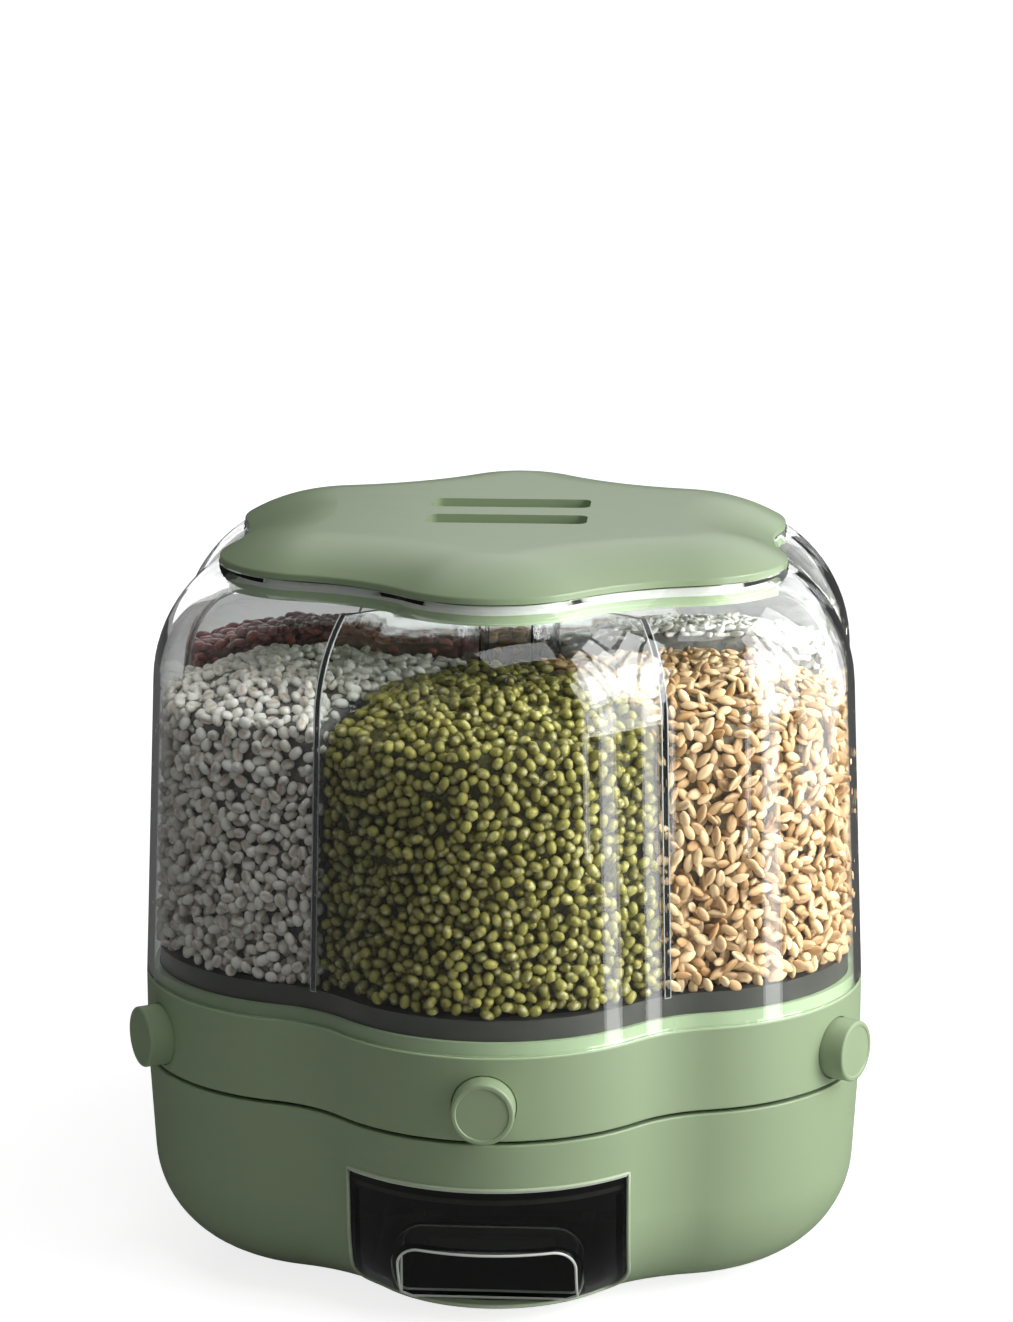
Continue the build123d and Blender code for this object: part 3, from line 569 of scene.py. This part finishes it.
def scattered(spacing, lift, depth, side, rng):
    """Places in the outer layers of the grain, no two nearer than most of the spacing."""
    least = NEAREST_SHARE * spacing
    low = np.array([COLUMN_RADIUS, -LOBE_RADIUS, FLOOR_TOP])
    high = np.array([LOBE_OFFSET + LOBE_RADIUS, LOBE_RADIUS, side + GRAIN_CROWN])
    cells, kept = {}, []
    tries = rng.uniform(low, high, (SEED_TRIES, 3))
    tries = tries[(room(tries, side) > lift) & (shown_gap(tries, side) < depth)]
    for p in tries:
        key = tuple(int(c // least) for c in p)
        near = (
            cells[i, j, k]
            for i in range(key[0] - 1, key[0] + 2)
            for j in range(key[1] - 1, key[1] + 2)
            for k in range(key[2] - 1, key[2] + 2)
            if (i, j, k) in cells
        )
        if all(np.dot(p - q, p - q) > least * least for group in near for q in group):
            cells.setdefault(key, []).append(p)
            kept.append(p)
    return np.array(kept)


def pushed(places, spacing):
    """How far each place is pushed by neighbours that are nearer than the spacing."""
    tree = kdtree.KDTree(len(places))
    for k, p in enumerate(places):
        tree.insert(p, k)
    tree.balance()
    push = np.zeros_like(places)
    for k, p in enumerate(places):
        for q, other, apart in tree.find_range(p, spacing):
            if other != k and apart > 0:
                push[k] += (p - np.array(q)) * (spacing / apart - 1) * PUSH_SHARE
    return push


def relaxed(places, spacing, lift, depth, side):
    """The same places after neighbours have pushed each other apart."""
    for _ in range(RELAX_TURNS):
        places = places + pushed(places, spacing)
        gap = room(places, side)
        places = places + slope_of(room, places, side) * np.maximum(lift - gap, 0)[:, None]
        deep = np.maximum(shown_gap(places, side) - depth, 0)
        places = places - slope_of(shown_gap, places, side) * deep[:, None]
    return places[room(places, side) > KEPT_SHARE * lift]


def lie(inwards, rng):
    """A turn that lays each seed on its flat side against a surface, with some tilt."""
    count = len(inwards)
    up = -inwards + rng.normal(0, SEED_TILT, (count, 3))
    up /= np.linalg.norm(up, axis=1, keepdims=True)
    along = np.cross(up, rng.normal(0, 1, (count, 3)))
    along /= np.linalg.norm(along, axis=1, keepdims=True)
    across = np.cross(up, along)
    flip = np.where(rng.random(count) < FLIPPED_SHARE, 1.0, -1.0)[:, None]
    return np.stack([along, across * flip, up * flip], axis=2)


def mesh_piece(name, points, faces, mat):
    mesh = bpy.data.meshes.new(name)
    mesh.from_pydata(points, [], faces)
    mesh.polygons.foreach_set("use_smooth", [True] * len(mesh.polygons))
    mesh.materials.append(mat)
    piece = bpy.data.objects.new(name, mesh)
    bpy.context.scene.collection.objects.link(piece)
    return piece


def turned_to(angle, points):
    """Points of one lobe's frame, turned to a compartment."""
    return (points @ np.array(Matrix.Rotation(angle, 3, "Z")).T).tolist()


def seed_piece(kind, angle, rng):
    """The outer layers of one compartment's grain, as one piece."""
    half = np.array(kind["half"]) * MM
    spacing = 2 * float(np.prod(half)) ** (1 / 3) * SPACING_SHARE
    lift = float(half[2]) * LIFT_SHARE
    depth = LAYERS * spacing
    side = GRAIN_SIDE + kind["rise"] * MM
    places = relaxed(scattered(spacing, lift, depth, side, rng), spacing, lift, depth, side)
    shape, faces, marks = seed_shape(kind["girth"], kind["groove"], kind["mark_half"])
    size = half * rng.normal(1.0, SIZE_SPREAD_SHARE, (len(places), 3)).clip(*SIZE_SHARES)
    turns = lie(slope_of(shown_gap, places, side), rng)
    seeds = np.einsum("nij,nbj->nbi", turns, shape[None] * size[:, None])
    points = turned_to(angle, (seeds + places[:, None]).reshape(-1, 3))
    step = len(shape)
    all_faces = [tuple(k * step + v for v in face) for k in range(len(places)) for face in faces]
    piece = mesh_piece(f"grain_{kind['name']}", points, all_faces, seed_material(kind))
    mark = piece.data.attributes.new("mark", "FLOAT", "POINT")
    mark.data.foreach_set("value", np.tile(marks, len(places)).astype(np.float32))
    return piece, spacing


# The grain behind the loose seeds, as a dark heap: painted shade in the gaps between them

HEAP_STEPS = 48
HEAP_RINGS = 6
HEAP_LEVELS = 8
HEAP_CLEAR = 0.02  # radians from the middle of each vane
REACH_STEPS = 400
HEAP_SIDE_SHARE = 0.8
HEAP_FOOT_SHARE = 0.3
PAINTED_SHADE_DARK_SHARE = 0.08
PAINTED_SHADE_LIGHT_SHARE = 0.26
HEAP_SCALE = 260.0
HEAP_DETAIL = 3.0
HEAP_ROUGHNESS = 0.7
HEAP_DEPTH = 1.0 * MM
HEAP_STRENGTH = 0.8


def heap_painted_shade(kind):
    """Dark and light spots at a small share of the seeds' colours: painted shade for what shows between the
    loose seeds.
    """
    # Painted shade: this material keeps the grain's colours at a small share of their brightness
    mat, shader = new_material(f"{kind['name']}_depth")
    dark = shaded(kind["colours"][0], PAINTED_SHADE_DARK_SHARE)
    light = shaded(kind["colours"][1], PAINTED_SHADE_LIGHT_SHARE)
    spots = noise(mat, HEAP_SCALE, HEAP_DETAIL)
    join(mat, blend_colours(mat, spots, dark, light), shader.inputs["Base Color"])
    set_inputs(shader, Roughness=HEAP_ROUGHNESS)
    bump(mat, shader, spots, HEAP_DEPTH, HEAP_STRENGTH)
    return mat


def heap_outline(inset):
    """A closed loop inside one compartment's walls, at height zero."""
    spread = HALF_PITCH - HEAP_CLEAR
    reach = np.linspace(COLUMN_RADIUS, LOBE_OFFSET + LOBE_RADIUS, REACH_STEPS)
    outer, inner = [], []
    for k in range(HEAP_STEPS + 1):
        bearing = -spread + 2 * spread * k / HEAP_STEPS
        direction = np.array([math.cos(bearing), math.sin(bearing), 0.0])
        line = reach[:, None] * direction + np.array([0, 0, SHOULDER])
        inside = reach[np.minimum(wall_gap(line), side_gap(line) + HEAP_SIDE_SHARE * inset) > inset]
        if len(inside):
            outer.append(direction * inside[-1])
            inner.append(direction * inside[0])
    return np.array(outer + inner[::-1])


def heap_points(outline, side, inset):
    """The heap's rows of points: up its sides, then inwards over its top, and last the top's middle."""
    centre = outline.mean(0)
    foot = FLOOR_TOP + inset * HEAP_FOOT_SHARE
    points = []
    for level in range(HEAP_LEVELS + 1):
        share = level / HEAP_LEVELS
        for p, height in zip(outline, top_gap(outline, side) - inset):
            points.append((p[0], p[1], foot + (height - foot) * share))
    for ring in range(1, HEAP_RINGS):
        drawn = centre + (outline - centre) * (1 - ring / HEAP_RINGS)
        for p, height in zip(drawn, top_gap(drawn, side) - inset):
            points.append((p[0], p[1], height))
    points.append((centre[0], centre[1], float(top_gap(centre[None], side)[0]) - inset))
    return np.array(points)


def heap_piece(kind, angle, inset):
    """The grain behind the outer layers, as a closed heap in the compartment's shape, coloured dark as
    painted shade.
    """
    outline = heap_outline(inset)
    points = heap_points(outline, GRAIN_SIDE + kind["rise"] * MM, inset)
    count = len(outline)
    rows = HEAP_LEVELS + HEAP_RINGS - 1
    faces = []
    for row in range(rows):
        here, there = row * count, (row + 1) * count
        for k in range(count):
            after = (k + 1) % count
            faces.append((here + k, here + after, there + after, there + k))
    last = rows * count
    faces += [(last + k, last + (k + 1) % count, len(points) - 1) for k in range(count)]
    faces.append(tuple(reversed(range(count))))
    return mesh_piece(f"heap_{kind['name']}", turned_to(angle, points), faces, heap_painted_shade(kind))


FIRST_SEED = 100
for place, seed in enumerate(SEEDS):
    rng = np.random.default_rng(FIRST_SEED + place)
    bearing = FRONT_ANGLE + PITCH * place
    layer, gap = seed_piece(seed, bearing, rng)
    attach(layer, "rotor")
    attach(heap_piece(seed, bearing, gap), "rotor")


# Button springs of round wire, in place of the part's own

SPRING_RADIUS = 6.9 * MM
SPRING_WIRE = 0.6 * MM
SPRING_TURNS = 6
SPRING_HALF = 15.9 * MM
TURN_STEPS = 24


def spring_piece(number):
    """A coil of round wire between its seat and its button."""
    low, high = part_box(f"spring_{number}")
    bearing = FRONT_ANGLE + PITCH * (number - 1)
    outwards = Vector((math.cos(bearing), math.sin(bearing), 0))
    up = Vector((0, 0, 1))
    across = up.cross(outwards)
    middle = (low + high) / 2
    axis = Vector((0, 0, middle.z))
    mid_reach = (middle - axis).dot(outwards)
    steps = TURN_STEPS * SPRING_TURNS
    path = []
    for k in range(steps + 1):
        share = k / steps
        turn = 2 * math.pi * SPRING_TURNS * share
        reach = mid_reach + SPRING_HALF * (2 * share - 1)
        round_axis = across * math.sin(turn) + up * math.cos(turn)
        path.append(axis + outwards * reach + round_axis * SPRING_RADIUS)
    piece = wire_mesh(f"coil_{number}", [path], SPRING_WIRE, FINISH["bright_steel"])
    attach(piece, "rotor")
    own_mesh(piece)
    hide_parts(f"spring_{number}")


for number in range(1, LOBES + 1):
    spring_piece(number)


# Backdrop

MIRRORED_LIGHT = 0.05  # what surfaces mirror of the pale backdrop
THROUGH_LIGHT = 0.50  # what shows of it through the clear hopper
WALL_PASSES = 2.5  # between the two passes of light through one wall and the four through two
FIRST_BOUNCE = 0.5  # between no matt bounce and one
ROOM_LIGHT = 0.13


def math_node(mat, operation, first, second):
    """Arithmetic on two sockets or numbers."""
    node = mat.node_tree.nodes.new("ShaderNodeMath")
    node.operation = operation
    for socket, value in zip(node.inputs, (first, second)):
        if isinstance(value, float):
            socket.default_value = value
        else:
            join(mat, value, socket)
    return node.outputs[0]


def mirrored_ray(mat):
    """Whether light comes by way of gloss or clear plastic, and from no matt surface before that."""
    path = add_node(mat, "ShaderNodeLightPath").outputs
    bounced = math_node(mat, "MAXIMUM", path["Is Glossy Ray"], path["Is Transmission Ray"])
    direct = math_node(mat, "LESS_THAN", path["Diffuse Depth"], FIRST_BOUNCE)
    return path, direct, math_node(mat, "MULTIPLY", bounced, direct)


def backdrop_light(mat, glow, room_light):
    """A backdrop's own glow to the camera, and less by way of other surfaces, so that grain stays clear."""
    path, direct, bounced = mirrored_ray(mat)
    level = ramp(mat, bounced, room_light, MIRRORED_LIGHT)
    through = math_node(mat, "GREATER_THAN", path["Transmission Depth"], WALL_PASSES)
    for factor in (path["Is Transmission Ray"], direct, THROUGH_LIGHT):
        through = math_node(mat, "MULTIPLY", through, factor)
    seen = math_node(mat, "MULTIPLY", path["Is Camera Ray"], glow)
    return math_node(mat, "MAXIMUM", math_node(mat, "MAXIMUM", level, through), seen)


FLOOR_COLOUR = (0.55, 0.55, 0.55)
FLOOR_MIRRORED = (0.08, 0.08, 0.08)
FLOOR_ROUGHNESS = 0.9
FLOOR_HALF = 30.0
FLOOR_GLOW = 0.80  # near the object, where the lamps add to it
FLOOR_NEAR = 0.4
FLOOR_FAR = 2.6


def floor_material():
    """A matt floor that glows a little less near the object than far from it."""
    mat, shader = new_material("pale_floor")
    matt = blend_colours(mat, mirrored_ray(mat)[2], FLOOR_COLOUR, FLOOR_MIRRORED)
    join(mat, matt, shader.inputs["Base Color"])
    set_inputs(shader, Roughness=FLOOR_ROUGHNESS, Specular_IOR_Level=0.0)
    place = add_node(mat, "ShaderNodeTexCoord")
    away = mat.node_tree.nodes.new("ShaderNodeVectorMath")
    away.operation = "LENGTH"
    join(mat, place.outputs["Object"], away.inputs[0])
    rise = add_node(
        mat, "ShaderNodeMapRange", From_Min=FLOOR_NEAR, From_Max=FLOOR_FAR, To_Min=FLOOR_GLOW, To_Max=1.0
    )
    join(mat, away.outputs["Value"], rise.inputs["Value"])
    glow = add_node(mat, "ShaderNodeEmission")
    join(mat, backdrop_light(mat, rise.outputs["Result"], 0.0), glow.inputs["Strength"])
    total = add_node(mat, "ShaderNodeAddShader")
    join(mat, shader.outputs["BSDF"], total.inputs[0])
    join(mat, glow.outputs["Emission"], total.inputs[1])
    show(mat, total.outputs["Shader"])
    return mat


def floor():
    """A wide pale floor that shows near white and keeps the soft shadow."""
    mat = floor_material()
    near, far = -FLOOR_HALF, FLOOR_HALF
    corners = [(near, near, 0), (far, near, 0), (far, far, 0), (near, far, 0)]
    mesh_piece("floor", corners, [(0, 1, 2, 3)], mat)


def world():
    """A dim even room that shows as white."""
    sky = bpy.data.worlds.new("studio")
    sky.use_nodes = True
    bpy.context.scene.world = sky
    shown = sky.node_tree.nodes["Background"].inputs
    join(sky, backdrop_light(sky, 1.0, ROOM_LIGHT), shown["Strength"])
    shown["Color"].default_value = (1, 1, 1, 1)


# Lamps

# Bright panes that the clear walls mirror at the right: how far away, from where to where along Y and Z,
# and how many times as bright as white
WINDOW_PANES = [
    (0.92, -0.52, -0.29, 0.46, 1.20, 9.0),
    (0.92, -0.24, -0.01, 0.46, 1.20, 9.0),
    (0.92, 0.04, 0.27, 0.46, 1.20, 6.0),
    (0.40, -0.272, -0.192, 0.005, 0.29, 4.0),
    (0.40, -0.368, -0.345, 0.10, 0.29, 4.0),
    (0.90, -0.10, 0.90, 0.02, 0.42, 2.2),
]
# Lamps that light the part and aren't mirrored: place, width, height and power
LAMPS = {
    "side": ((1.0, -0.35, 0.50), 0.6, 0.9, 14.5),
    "overhead": ((0.25, -0.40, 1.7), 0.9, 0.5, 6.5),
    "fill": ((-1.5, -1.6, 1.2), 1.6, 1.2, 1.7),
    "behind": ((-0.5, 1.8, 1.0), 1.4, 1.0, 8.0),
}
LAMP_AIM = (0, 0, 0.16)
# A large dim panel behind that is only mirrored
PANEL_PLACE = (0.6, 1.2, 1.5)
PANEL_WIDTH = 2.6
PANEL_HEIGHT = 2.0
PANEL_BRIGHT = 1.2


def lamp(name, place, aim, width, height, power, mirrored):
    """A rectangular lamp that is either only mirrored by the surfaces or only lights them."""
    data = bpy.data.lights.new(name, "AREA")
    data.shape = "RECTANGLE"
    data.size, data.size_y = width, height
    data.energy = power
    light = bpy.data.objects.new(name, data)
    light.location = place
    light.rotation_euler = (Vector(aim) - Vector(place)).to_track_quat("-Z", "Y").to_euler()
    light.visible_camera = False
    light.visible_glossy = mirrored
    light.visible_diffuse = not mirrored
    bpy.context.scene.collection.objects.link(light)


def power_of(bright, width, height):
    """The power of a lamp that looks so many times as bright as white."""
    return bright * math.pi * width * height


def lights():
    """Window panes at the right, a softbox above, a weak fill, and a lamp and a panel behind."""
    for k, (away, near, far, low, high, bright) in enumerate(WINDOW_PANES):
        place = Vector((away, (near + far) / 2, (low + high) / 2))
        width, height = far - near, high - low
        power = power_of(bright, width, height)
        lamp(f"window_{k}", place, place - Vector((1, 0, 0)), width, height, power, True)
    for name, (place, width, height, power) in LAMPS.items():
        lamp(name, place, LAMP_AIM, width, height, power, False)
    power = power_of(PANEL_BRIGHT, PANEL_WIDTH, PANEL_HEIGHT)
    lamp("panel", PANEL_PLACE, LAMP_AIM, PANEL_WIDTH, PANEL_HEIGHT, power, True)


# Camera

CAMERA_REACH = 1473.3 * MM
CAMERA_HEIGHT = 575.0 * MM
CAMERA_BEARING = math.radians(3.55)
CAMERA_PITCH = math.radians(13.106)
LENS = 102.0
SENSOR = 36.0
SHIFT_SHARE = -2.6 / 1322


def camera():
    data = bpy.data.cameras.new("camera")
    data.lens, data.sensor_width = LENS, SENSOR
    data.shift_x = SHIFT_SHARE
    eye = bpy.data.objects.new("camera", data)
    eye.location = (
        CAMERA_REACH * math.sin(CAMERA_BEARING),
        -CAMERA_REACH * math.cos(CAMERA_BEARING),
        CAMERA_HEIGHT,
    )
    eye.rotation_euler = (math.pi / 2 - CAMERA_PITCH, 0, CAMERA_BEARING)
    bpy.context.scene.collection.objects.link(eye)
    bpy.context.scene.camera = eye


floor()
world()
lights()
camera()
bpy.context.scene.view_settings.view_transform = "Standard"
